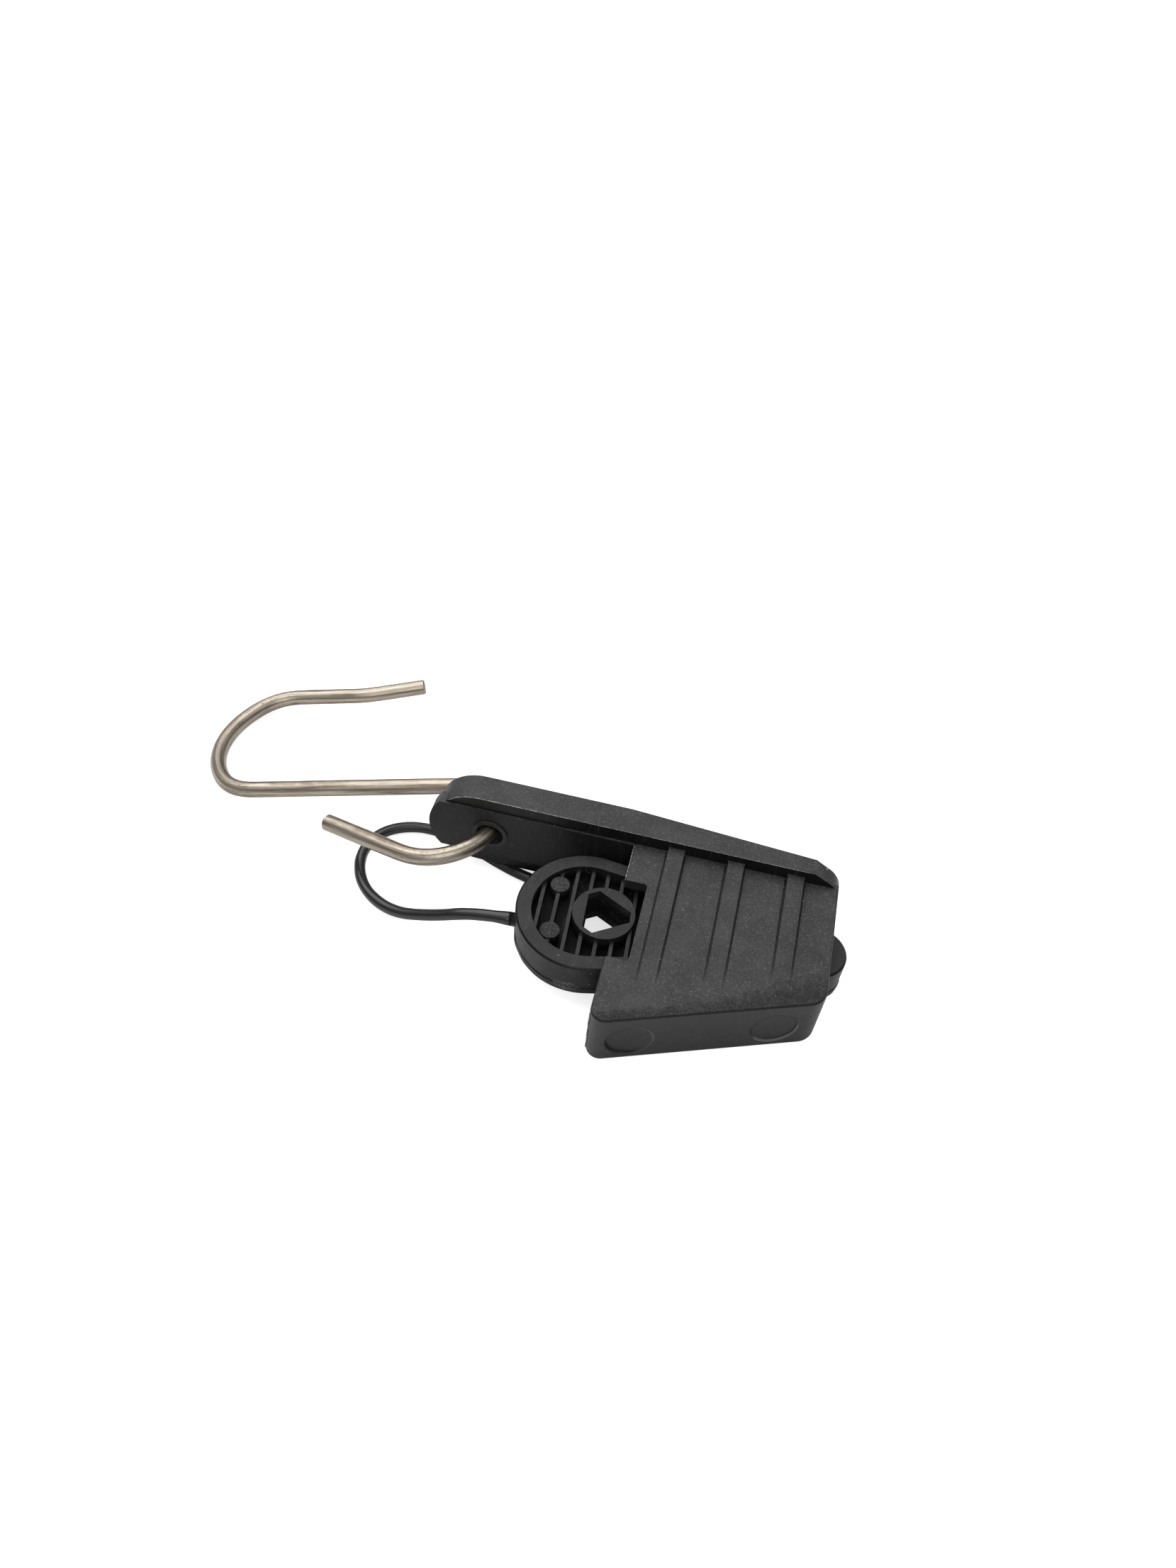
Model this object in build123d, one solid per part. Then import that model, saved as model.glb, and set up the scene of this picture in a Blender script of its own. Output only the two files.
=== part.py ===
from build123d import *
import math
import os

os.makedirs("parts", exist_ok=True)

# Sizes are in millimetres. The clamp is drawn flat first: X along the arm towards the narrow end,
# Y from the near wall to the arm, Z square to the barred faces. Then it is laid on the table.

# Casing
casing_length = 40.0
casing_thick = 13.0
casing_wide = 41.33
casing_narrow = 26.02
cover_wall = 2.3
near_wall = 3.4
corner_wide = 2.5
corner_narrow = 4.0
edge_round = 0.5
notch_depth = 4.35
notch_near = -27.0
notch_far = -9.2

# Bars on both broad faces
bar_width = 3.3
bar_height = 1.3
bar_centres = [8.25, 19.9, 31.5]
bar_ends = [-28.5, -25.5, -21.0]

# Round recesses in the near face
disc_radius = 4.3
disc_depth = 0.3
disc_centres = [7.6, 32.3]
disc_height = 5.8
disc_angles = [-3.8, 0.0]

# Arm
arm_thick = 6.1
arm_tip_thick = 3.24
arm_half = 9.35
arm_round_x = -31.7
arm_taper_x = -2.0
tip_flat_x = 34.8
tip_slope = (38.0, 7.55)
tip_side = (39.75, 5.5)
tip_end = (40.4, 3.2)
band_raise = 0.45
band_reach = 10.2
band_depth = 2.4
eye_x = -29.15
eye_radius = 2.8
lip_radius = 3.7
lip_raise = 0.3

# Wedge
wedge_thick = 8.1
wedge_drop = 0.1
head_x = -5.72
head_y = -16.25
wedge_angle = 3.7
head_radius = 13.26
tail_radius = 5.55
wedge_span = 43.4
wedge_edge = 0.35
rim_wall = 2.95
web_thick = 0.8
pocket_end = 34.0
rib_width = 0.7
rib_pitch = 2.93
rib_first = -8.85
rib_count = 15
rib_drop = 1.0
hub_x = 3.35
hub_radius = 5.91
key_apothem = 3.5
key_corner = 5.0
pad_x = -5.9
pad_y = 5.4
pad_radius = 1.85
pad_drop = 0.7
boss_y = -2.2
boss_radius = 1.35
boss_reach = 13.6

# Hook wire
wire_radius = 1.75
wire_chamfer = 0.3
near_arc = 12.2
near_bend_angle = 110.1
near_leg = 20.2
far_arc = 9.98
far_bend_angle = 98.15
far_leg = 45.57
bowl_radii = [9.5, 21.2, 10.6]
bowl_angles = [-51.4, -79.5, -49.2]
lip_leg = 14.7
lip_bend = 16.2
lip_angle = 12.3
tip_leg = 12.3
eye_offset = 0.2

# Tether, its route from the wedge's boss to the lower wall of the casing
tether_radius = 1.15
tether_lead = 7.0
tether_route = [
    (-6.8, -23.0, 4.8), (-16.0, -21.2, 1.3), (-24.0, -16.2, 1.17), (-27.9, -7.5, 1.17),
    (-25.9, 0.5, 1.17), (-18.6, 4.3, 1.17), (-8.6, 2.6, 1.17), (1.4, -2.6, 1.17),
    (12.0, -5.9, 1.3), (20.9, -8.3, 2.5)]
anchor_y = -5.6
anchor_depth = 0.8

# Rest on the table: near corner, end of the arm's foot, and the arm on the tether
rest_corner_x = 2.4
rest_tether_x = -22.0

middle = casing_thick / 2
near_slope = (casing_wide - casing_narrow) / casing_length
near_angle = math.atan(near_slope)


# Outer face of the near wall
def near_line(x):
    return near_slope * x - casing_wide


# Mirror image in the middle plane of the casing
def both_faces(shape):
    return shape + mirror(shape, about=Plane.XY.offset(middle))


# Casing block with rounded near corners
block_face = make_face(Polyline(
    (0, 1), (casing_length, 1),
    (casing_length, near_line(casing_length)), (0, near_line(0)), close=True))
block = extrude(block_face, casing_thick)
uprights = block.edges().filter_by(Axis.Z).sort_by(Axis.Y)
block = fillet(uprights[0], corner_wide)
uprights = block.edges().filter_by(Axis.Z).sort_by(Axis.X)
block = fillet(uprights.filter_by(lambda e: e.center().Y < -20)[-1], corner_narrow)
rims = block.edges().filter_by(lambda e: abs(e.center().Z - middle) > middle - 0.01 and e.center().Y < 0.9)
block = fillet(rims, edge_round)

# Bars that fade out before the near edge
for centre, end in zip(bar_centres, bar_ends):
    profile = make_face(Polyline(
        (0.5, casing_thick - 1), (0.5, casing_thick + bar_height), (0, casing_thick + bar_height),
        (end, casing_thick), (end, casing_thick - 1), close=True))
    bar = extrude(Plane.YZ.offset(centre - bar_width / 2) * profile, bar_width)
    block += both_faces(bar)

# Arm plate with one round end and one shaped tip
top = middle + arm_half
foot = middle - arm_half
plate_lines = [
    Line((arm_round_x, top), (tip_flat_x, top)),
    Line((tip_flat_x, top), (tip_slope[0], middle + tip_slope[1])),
    ThreePointArc(
        (tip_slope[0], middle + tip_slope[1]),
        (tip_side[0], middle + tip_side[1]),
        (tip_end[0], middle + tip_end[1])),
    Line((tip_end[0], middle + tip_end[1]), (tip_end[0], middle - tip_end[1])),
    ThreePointArc(
        (tip_end[0], middle - tip_end[1]),
        (tip_side[0], middle - tip_side[1]),
        (tip_slope[0], middle - tip_slope[1])),
    Line((tip_slope[0], middle - tip_slope[1]), (tip_flat_x, foot)),
    Line((tip_flat_x, foot), (arm_round_x, foot)),
    ThreePointArc((arm_round_x, foot), (arm_round_x - arm_half, middle), (arm_round_x, top)),
]
arm = extrude(Plane.XZ * make_face(plate_lines), -arm_thick)
back_cut = make_face(Polyline(
    (arm_taper_x, arm_thick), (tip_end[0] + 1, arm_tip_thick), (tip_end[0] + 1, 12), (arm_taper_x, 12), close=True))
arm -= Pos(0, 0, foot - 1) * extrude(back_cut, 2 * arm_half + 2)

# Raised band that runs a little past the plate
band_face = Pos(arm_round_x, middle) * Circle(band_reach)
band_face += Pos(arm_round_x / 2, middle) * Rectangle(-arm_round_x, 2 * band_reach)
band_length = band_reach - arm_round_x + 1
band_face &= Pos(1 - band_length / 2, middle) * Rectangle(band_length, casing_thick)
band = extrude(Plane.XZ.offset(band_raise) * band_face, -(band_raise + band_depth))
lip = extrude(Plane.XZ.offset(band_raise + lip_raise) * Pos(eye_x, middle) * Circle(lip_radius), -2)

casing = block + arm + band + lip

# Cable channel, notches, eye and round recesses
wall_step = near_wall / math.cos(near_angle)
channel_face = make_face(Polyline(
    (-6, 0), (casing_length + 6, 0),
    (casing_length + 6, near_line(casing_length + 6) + wall_step), (-6, near_line(-6) + wall_step), close=True))
channel = Pos(0, 0, cover_wall) * extrude(channel_face, casing_thick - 2 * cover_wall)
channel -= Pos(-10, 0, middle) * Box(20, 4, 30)
casing -= channel
notch = Pos(0, (notch_near + notch_far) / 2, casing_thick) * Box(2 * notch_depth, notch_far - notch_near, 3 * cover_wall)
notch = fillet(notch.edges().filter_by(Axis.Z), 0.6)
casing -= both_faces(notch)
casing -= extrude(Plane.XZ.offset(5) * Pos(eye_x, middle) * Circle(eye_radius), -20)
for centre, angle in zip(disc_centres, disc_angles):
    face = Plane(
        origin=(centre, near_line(centre), disc_height),
        x_dir=(math.cos(near_angle), math.sin(near_angle), 0),
        z_dir=(math.sin(near_angle), -math.cos(near_angle), 0))
    casing -= face * Rot(0, angle, 0) * Pos(0, 0, -disc_depth) * extrude(Circle(disc_radius), 2)


# Outline between two circles on the wedge's axis, joined by tangents
def tapered_face(big, small, span):
    lean = math.asin((big - small) / span)
    x1 = big * math.sin(lean)
    y1 = big * math.cos(lean)
    x2 = span + small * math.sin(lean)
    y2 = small * math.cos(lean)
    return make_face([
        Line((x1, y1), (x2, y2)),
        ThreePointArc((x2, y2), (span + small, 0), (x2, -y2)),
        Line((x2, -y2), (x1, -y1)),
        ThreePointArc((x1, -y1), (-big, 0), (x1, y1)),
    ])


# Wedge with a pocket and ribs on both faces
half = wedge_thick / 2
wedge = Pos(0, 0, -half) * extrude(tapered_face(head_radius, tail_radius, wedge_span), wedge_thick)
rims = wedge.edges().filter_by(lambda e: abs(e.center().Z) > half - 0.01)
wedge = chamfer(rims, wedge_edge)
pocket_face = tapered_face(head_radius - rim_wall, tail_radius - rim_wall, wedge_span)
pocket_face &= Pos(pocket_end - wedge_span, 0) * Rectangle(2 * wedge_span, 4 * head_radius)
pocket_depth = half - web_thick / 2
pocket = Pos(0, 0, web_thick / 2) * extrude(pocket_face, pocket_depth + 1)
ribs_face = Sketch() + [
    Pos(rib_first + i * rib_pitch, 0) * Rectangle(rib_width, 4 * head_radius) for i in range(rib_count)]
ribs = Pos(0, 0, web_thick / 2 - 0.2) * extrude(ribs_face & tapered_face(
    head_radius - rim_wall + 0.2, tail_radius - rim_wall + 0.2, wedge_span), pocket_depth - rib_drop + 0.2)
hub = Pos(hub_x, 0, 0) * extrude(Circle(hub_radius), half)
pads = [Pos(pad_x, side * pad_y, 0) * extrude(Circle(pad_radius), half - pad_drop) for side in (1, -1)]
wedge -= pocket + mirror(pocket, about=Plane.XY)
fill = ribs + hub + pads
wedge += fill
wedge += mirror(fill, about=Plane.XY)
key_face = RegularPolygon(2 * key_apothem, 3) & RegularPolygon(2 * key_corner, 3, rotation=180)
wedge -= Pos(hub_x, 0, -half - 1) * extrude(key_face, wedge_thick + 2)
boss_plane = Plane(origin=(1.5 - head_radius, boss_y, 0), x_dir=(0, 0, 1), z_dir=(-1, 0, 0))
wedge += extrude(boss_plane * Circle(boss_radius), boss_reach - head_radius + 1.5)
wedge = Pos(head_x, head_y, middle - wedge_drop) * Rot(0, 0, wedge_angle) * wedge

# Lay casing and wedge on the table
lift_slope = 2 * tether_radius / (tip_flat_x - rest_tether_x)
side_slope = (foot - lift_slope * (tip_flat_x - rest_corner_x)) / near_line(rest_corner_x)
roll = math.degrees(math.atan(side_slope))
pitch = math.degrees(math.atan(lift_slope / math.hypot(1, side_slope)))


def lay(shape):
    return shape.rotate(Axis.X, roll).rotate(Axis.Y, pitch)


casing = lay(casing)
wedge = lay(wedge)
lift = -casing.bounding_box().min.Z
casing = Pos(0, 0, lift) * casing
wedge = Pos(0, 0, lift) * wedge


# Point of the flat drawing on the table
def laid(x, y, z):
    spot = Vector(x, y, z).rotate(Axis.X, roll).rotate(Axis.Y, pitch)
    return spot + Vector(0, 0, lift)


# Hook: one bent wire through the eye, drawn in its own plane from the eye outwards
near_bend = JernArc((eye_offset, 0), (0, -1), near_arc, -near_bend_angle)
near_end = near_bend @ 1 + (near_bend % 1) * near_leg
route = [Line(near_end, near_bend @ 1), near_bend]
far_bend = JernArc((eye_offset, 0), (0, 1), far_arc, far_bend_angle)
route += [far_bend, Line(far_bend @ 1, far_bend @ 1 + (far_bend % 1) * far_leg)]
for radius, angle in zip(bowl_radii, bowl_angles):
    route.append(JernArc(route[-1] @ 1, route[-1] % 1, radius, angle))
route.append(Line(route[-1] @ 1, route[-1] @ 1 + (route[-1] % 1) * lip_leg))
route.append(JernArc(route[-1] @ 1, route[-1] % 1, lip_bend, lip_angle))
route.append(Line(route[-1] @ 1, route[-1] @ 1 + (route[-1] % 1) * tip_leg))
path = Wire(route)
hook = sweep(Plane(origin=path @ 0, z_dir=path % 0) * Circle(wire_radius), path)
caps = [face.edges()[0] for face in hook.faces().filter_by(GeomType.PLANE)]
hook = chamfer(caps, wire_chamfer)
print("wire volume ratio", round(hook.volume / (path.length * math.pi * wire_radius ** 2), 4))
eye_middle = laid(eye_x, arm_thick / 2, middle)
bowl_reach = -path.bounding_box().min.X
hook_pitch = math.degrees(math.asin((eye_middle.Z - wire_radius - 0.02) / bowl_reach))
hook = Pos(*eye_middle) * hook.rotate(Axis.Y, -hook_pitch)

# Origin under the middle of the clamp and its hook
box = Compound([casing, wedge, hook]).bounding_box()
shift = Vector(-(box.min.X + box.max.X) / 2, -(box.min.Y + box.max.Y) / 2, -box.min.Z)
casing = Pos(*shift) * casing
wedge = Pos(*shift) * wedge
hook = Pos(*shift) * hook
print("shift", shift, "box", box.size, "low", box.min.Z)

# Tether: straight runs joined by the largest arcs they allow
slide_way = Vector(1, 0, 0).rotate(Axis.Z, wedge_angle).rotate(Axis.X, roll).rotate(Axis.Y, pitch)
lead = math.radians(wedge_angle)
tether_start = shift + laid(
    head_x - (boss_reach + 0.05) * math.cos(lead) - boss_y * math.sin(lead),
    head_y - (boss_reach + 0.05) * math.sin(lead) + boss_y * math.cos(lead), middle - wedge_drop)
points = [tether_start, tether_start - slide_way * tether_lead]
points += [Vector(*spot) for spot in tether_route]
points.append(shift + laid(anchor_depth, anchor_y, cover_wall / 2))
radii = []
for before, here, after in zip(points, points[1:], points[2:]):
    turn = math.radians((here - before).get_angle(after - here))
    run = min((here - before).length, (after - here).length)
    radii.append(0.45 * run / math.tan(turn / 2))
print("tether runs", [round((b - a).length, 1) for a, b in zip(points, points[1:])])
print("tether radii", [round(radius, 1) for radius in radii])
cord = FilletPolyline(*points, radius=radii)
cord_start = Plane(origin=cord @ 0, z_dir=cord % 0)
tether = sweep(cord_start * Circle(tether_radius), cord)
print("tether length", round(cord.length, 1), "volume ratio", round(
    tether.volume / (cord.length * math.pi * tether_radius ** 2), 4))
print("tether low", tether.bounding_box().min.Z, [(p.X, p.Y, p.Z) for p in points])
print("eye", eye_middle + shift, "eye axis", Vector(0, 1, 0).rotate(Axis.X, roll).rotate(Axis.Y, pitch))
print("slide axis", slide_way, "roll", roll, "pitch", pitch, "lift", lift, "hook pitch", hook_pitch)

export_step(casing, "parts/casing.step")
export_step(wedge, "parts/wedge.step")
export_step(hook, "parts/hook.step")
export_step(tether, "parts/tether.step")
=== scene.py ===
from math import radians

import bpy
import numpy as np
from mathutils import Matrix, Vector


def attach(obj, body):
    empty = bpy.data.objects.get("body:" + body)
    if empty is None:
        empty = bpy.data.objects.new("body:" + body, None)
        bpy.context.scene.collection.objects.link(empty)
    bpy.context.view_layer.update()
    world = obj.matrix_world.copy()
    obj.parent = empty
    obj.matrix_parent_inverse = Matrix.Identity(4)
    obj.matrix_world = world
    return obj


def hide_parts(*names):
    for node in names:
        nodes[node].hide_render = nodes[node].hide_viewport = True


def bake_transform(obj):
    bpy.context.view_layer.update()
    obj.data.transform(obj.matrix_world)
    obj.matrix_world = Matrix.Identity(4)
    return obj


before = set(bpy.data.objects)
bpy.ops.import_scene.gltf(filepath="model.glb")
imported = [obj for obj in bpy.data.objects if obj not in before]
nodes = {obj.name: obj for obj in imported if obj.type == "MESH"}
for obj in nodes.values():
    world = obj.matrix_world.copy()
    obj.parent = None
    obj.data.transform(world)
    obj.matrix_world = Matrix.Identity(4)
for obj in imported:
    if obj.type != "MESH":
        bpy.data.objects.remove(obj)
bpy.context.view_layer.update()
mm = 0.001

# The clamp's own axes: x along the arm, y from the near wall to the arm, z square to the barred faces
clampFrame = {"roll": 5.880163, "pitch": 2.306621, "shift": (28.6079, -3.69937, 4.233312)}

# Camera at the photograph's viewing angle, in millimetres and as unit directions
cameraView = {
    "place": (47.01, -164.23, 171.10),
    "right": (0.97400, 0.21980, 0.05495),
    "up": (-0.18528, 0.63315, 0.75153),
    "lens": 26.165,
}


def setCamera(view):
    right = Vector(view["right"]).normalized()
    up = Vector(view["up"])
    up = (up - right * up.dot(right)).normalized()
    camera = bpy.data.cameras.new("camera")
    camera.lens = view["lens"]
    camera.sensor_width = 36
    camera.clip_start = 0.005
    camera.clip_end = 20
    cameraObject = bpy.data.objects.new("camera", camera)
    place = Matrix((right, up, right.cross(up))).transposed().to_4x4()
    place.translation = Vector(view["place"]) * mm
    cameraObject.matrix_world = place
    bpy.context.scene.collection.objects.link(cameraObject)
    bpy.context.scene.camera = cameraObject


setCamera(cameraView)
print("camera set")


# clamp millimetres to metres in the frame: turn about x by roll, about y by pitch, then shift
def fromClamp(points):
    roll, pitch = radians(clampFrame["roll"]), radians(clampFrame["pitch"])
    aboutX = np.array([[1, 0, 0], [0, np.cos(roll), -np.sin(roll)], [0, np.sin(roll), np.cos(roll)]])
    aboutY = np.array([[np.cos(pitch), 0, np.sin(pitch)], [0, 1, 0], [-np.sin(pitch), 0, np.cos(pitch)]])
    return (np.asarray(points, float) @ (aboutY @ aboutX).T + np.array(clampFrame["shift"])) * mm


# the clamp's axes as unit vectors of the frame
clampAxes = (fromClamp(np.eye(3)) - fromClamp(np.zeros((1, 3)))) / mm


def unit(vectors):
    return vectors / np.linalg.norm(vectors, axis=-1, keepdims=True)


# mean over a window of an odd number of values, with the end values carried on
def runningMean(values, window):
    return np.convolve(np.pad(values, window // 2, mode="edge"), np.ones(window) / window, mode="valid")


# sum of sines with fixed phases: a smooth wander between about -1 and 1
def wander(t, seed, terms=6):
    rng = np.random.default_rng(seed)
    rates = rng.uniform(0.4, 2.6, terms)
    phases = rng.uniform(0, 6.28, terms)
    return np.sin(np.outer(t, rates) + phases).sum(1) / terms ** 0.5


# the same corners at every station of a path, each corner a pair of numbers or of values along the path
def cornersAlong(count, corners):
    ones = np.ones(count)
    return np.stack([np.stack([a * ones, b * ones], -1) for a, b in corners], 1)


# profile carried along a path: vertex = path + side * profile[0] + up * profile[1], quads between
# neighbouring stations, and an end face on each open end
def carryProfile(name, path, side, up, profile, loop=False):
    stations, around = profile.shape[:2]
    grid = path[:, None] + side[:, None] * profile[..., :1] + up[:, None] * profile[..., 1:]
    index = np.arange(stations * around).reshape(stations, around)
    rows = index if not loop else np.vstack([index, index[:1]])
    a, b = rows[:-1], rows[1:]
    quads = np.stack([a, b, np.roll(b, -1, 1), np.roll(a, -1, 1)], -1).reshape(-1, 4)
    faces = [tuple(q) for q in quads.tolist()]
    if not loop:
        faces += [tuple(index[0].tolist()), tuple(index[-1][::-1].tolist())]
    mesh = bpy.data.meshes.new(name)
    mesh.from_pydata(grid.reshape(-1, 3).tolist(), [], faces)
    smooth = np.ones(len(mesh.polygons), bool)
    smooth[len(quads):] = False
    mesh.polygons.foreach_set("use_smooth", smooth)
    mesh.update()
    piece = bpy.data.objects.new(name, mesh)
    bpy.context.scene.collection.objects.link(piece)
    return piece


# a vector for each vertex, for materials to read
def addVectors(piece, name, values):
    layer = piece.data.attributes.new(name, "FLOAT_VECTOR", "POINT")
    layer.data.foreach_set("vector", np.ascontiguousarray(values, np.float32).ravel())


# a number for each vertex, for materials to read
def addValues(piece, name, values):
    layer = piece.data.attributes.new(name, "FLOAT", "POINT")
    layer.data.foreach_set("value", np.ascontiguousarray(values, np.float32).ravel())


# Tether: route from the wedge's boss to the lower wall of the casing, in millimetres; its length is in metres
tetherCord = {
    "route": [
        (9.600, -23.580, 9.389), (2.619, -24.029, 9.624), (-6.8, -23.0, 4.8), (-16.0, -21.2, 1.3),
        (-24.0, -16.2, 1.17), (-27.9, -7.5, 1.17), (-25.9, 0.5, 1.17), (-18.6, 4.3, 1.17),
        (-8.6, 2.6, 1.17), (1.4, -2.6, 1.17), (12.0, -5.9, 1.3), (20.9, -8.3, 2.5),
        (29.430, -9.388, 4.771)],
    "radius": 1.15,
    "length": 0.1121,
    "rootFlare": 0.2,
    "rootLength": 3.6,
    "around": 32,
    "seamHeight": 0.035,
    "seamWidth": 0.13,      # sine of the angle where the seam has dropped to about a third
    "seamTurn": 0.6,
    "seamSunk": 0.4,        # share of the seam's height that lies within the radius
    "wobble": 0.012,
    "wobbleRate": 0.7,
    "seed": 3,
}


def readCord(points):
    curve = bpy.data.curves.new("tetherLine", "CURVE")
    curve.dimensions = "3D"
    curve.resolution_u = 16
    spline = curve.splines.new("NURBS")
    spline.points.add(len(points) - 1)
    coords = np.c_[np.array(points) * mm, np.ones(len(points))]
    spline.points.foreach_set("co", coords.ravel())
    spline.order_u = 3
    spline.use_endpoint_u = True
    line = bpy.data.objects.new("tetherLine", curve)
    bpy.context.scene.collection.objects.link(line)
    bpy.context.view_layer.update()
    mesh = bpy.data.meshes.new_from_object(line)
    path = np.zeros(len(mesh.vertices) * 3)
    mesh.vertices.foreach_get("co", path)
    bpy.data.objects.remove(line)
    return path.reshape(-1, 3)


# round section with a fine moulding seam on two sides, thicker where it leaves the wedge, carried along the
# cord's spline
def makeTether(cord):
    path = readCord(cord["route"])
    tangent = unit(np.gradient(path, axis=0))
    side = unit(np.cross(tangent, np.array([0, 0, 1.0])))
    up = np.cross(side, tangent)
    run = np.r_[0, np.cumsum(np.linalg.norm(np.diff(path, axis=0), axis=1))] / mm
    angle = np.linspace(0, 2 * np.pi, cord["around"], endpoint=False)
    seam = cord["seamHeight"] * np.exp(-(np.sin(angle - cord["seamTurn"]) / cord["seamWidth"]) ** 2)
    wobble = cord["wobble"] * wander(run * cord["wobbleRate"], cord["seed"])
    radius = cord["radius"] - cord["seamHeight"] * cord["seamSunk"] + seam[None] + wobble[:, None]
    root = np.clip(1 - run / cord["rootLength"], 0, 1)
    radius += cord["rootFlare"] * (root * root * (3 - 2 * root))[:, None]
    profile = np.stack([radius * np.cos(angle), radius * np.sin(angle)], -1)
    piece = carryProfile("tetherCord", path, side, up, profile * mm)
    addVectors(piece, "cordSpace", np.stack(
        [profile[..., 0], profile[..., 1], np.broadcast_to(run[:, None], radius.shape)], -1))
    addValues(piece, "seam", np.broadcast_to(seam[None] / cord["seamHeight"], radius.shape))
    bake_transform(piece)
    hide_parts("tether")
    return piece


tetherPiece = makeTether(tetherCord)
print("tether laid")

# Hook wire: straight legs and bends from the near end to the tip, as (length, radius, turn in degrees)
hookWire = {
    "eye": (-0.245707, -1.33133, 12.1793),
    "pitch": 8.450325,
    "offset": 0.2,
    "radius": 1.75,
    "endChamfer": 0.3,
    "endRings": (0.08, 0.18, 0.3),
    "nearSide": [(20.2, 0, 0), (0, 12.2, 110.1)],
    "farSide": [
        (0, 9.98, 98.15), (45.57, 0, 0), (0, 9.5, -51.4), (0, 21.2, -79.5), (0, 10.6, -49.2),
        (14.7, 0, 0), (0, 16.2, 12.3), (12.3, 0, 0)],
    "around": 40,
    "step": 0.3,
    "fineSteps": 20000,
    "ease": 4.5,
    "fullBend": 12,         # bend radius that counts as a full bend
    "bendWindow": 13,
    "flatten": 0.035,
    "wobble": 0.008,
    "wobbleRate": 1.3,
    "wobbleTwist": 0.2,
    "seed": 11,
}


# flat middle line: the heading is a broken line over the length run, eased by a running mean, and the line is
# the running sum of its (cos, sin)
def layWire(wire):
    bends = wire["nearSide"] + wire["farSide"]
    nearCount = len(wire["nearSide"])
    runs = [length + radius * abs(radians(turn)) for length, radius, turn in bends]
    turns = [turn for length, radius, turn in bends]
    marks = np.r_[0, np.cumsum(runs)]
    total = marks[-1]
    corners = 90 - sum(turns[:nearCount]) + np.r_[0, np.cumsum(turns)]
    fine = np.linspace(0, total, wire["fineSteps"] + 1)
    between = (fine[1:] + fine[:-1]) / 2
    window = int(wire["ease"] / fine[1]) // 2 * 2 + 1
    heading = runningMean(np.radians(np.interp(between, marks, corners)), window)
    line = np.cumsum(np.c_[np.cos(heading), np.sin(heading)] * np.diff(fine)[:, None], 0)
    line = np.vstack([[0, 0], line])
    nearRun = sum(runs[:nearCount])
    line -= [np.interp(nearRun, fine, line[:, 0]) - wire["offset"], np.interp(nearRun, fine, line[:, 1])]
    rings = np.array(wire["endRings"])
    run = np.unique(np.r_[np.linspace(0, total, int(total / wire["step"])), rings, total - rings])
    line = np.c_[np.interp(run, fine, line[:, 0]), np.interp(run, fine, line[:, 1])]
    return run, line, np.interp(run, between, heading)


# round section, a little flatter in the bends and chamfered at both ends, carried along the middle line
def makeHook(wire):
    run, line, heading = layWire(wire)
    lean = radians(wire["pitch"])
    acrossX = np.array([np.cos(lean), 0, np.sin(lean)])
    acrossY = np.array([0, 1.0, 0])
    normal = np.cross(acrossX, acrossY)
    path = (np.array(wire["eye"]) + line[:, :1] * acrossX + line[:, 1:] * acrossY) * mm
    side = -np.sin(heading)[:, None] * acrossX + np.cos(heading)[:, None] * acrossY
    bend = runningMean(np.abs(np.gradient(heading, run)) * wire["fullBend"], wire["bendWindow"])
    angle = np.linspace(0, 2 * np.pi, wire["around"], endpoint=False)
    toEnd = np.minimum(run, run[-1] - run)
    wobble = wire["wobble"] * wander(run * wire["wobbleRate"], wire["seed"])
    radius = wire["radius"] - np.clip(wire["endChamfer"] - toEnd, 0, None)[:, None] * np.ones_like(angle)
    radius -= wire["flatten"] * np.clip(bend, 0, 1.2)[:, None] * np.cos(angle) ** 2
    radius += wobble[:, None] * np.cos(3 * angle + run[:, None] * wire["wobbleTwist"])
    profile = np.stack([radius * np.cos(angle), radius * np.sin(angle)], -1)
    piece = carryProfile("hookWire", path, side, np.broadcast_to(normal, side.shape), profile * mm)
    addVectors(piece, "wireSpace", np.stack(
        [profile[..., 0], profile[..., 1], np.broadcast_to(run[:, None], radius.shape)], -1))
    addValues(piece, "bend", np.broadcast_to(np.clip(bend, 0, 1)[:, None], radius.shape))
    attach(piece, "hook")
    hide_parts("hook")
    return piece


hookPiece = makeHook(hookWire)
print("hook bent")

# Soft moulded edges on the casing and wedge, in millimetres and degrees
softEdges = {"width": 0.16, "segments": 2, "angle": 32, "weld": 0.002, "flatAngle": 0.4}


def makeSmoothFaces():
    tree = bpy.data.node_groups.new("smoothFaces", "GeometryNodeTree")
    tree.interface.new_socket("Geometry", in_out="INPUT", socket_type="NodeSocketGeometry")
    tree.interface.new_socket("Geometry", in_out="OUTPUT", socket_type="NodeSocketGeometry")
    start = tree.nodes.new("NodeGroupInput")
    smooth = tree.nodes.new("GeometryNodeSetShadeSmooth")
    end = tree.nodes.new("NodeGroupOutput")
    tree.links.new(start.outputs[0], smooth.inputs[0])
    tree.links.new(smooth.outputs[0], end.inputs[0])
    return tree


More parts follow.
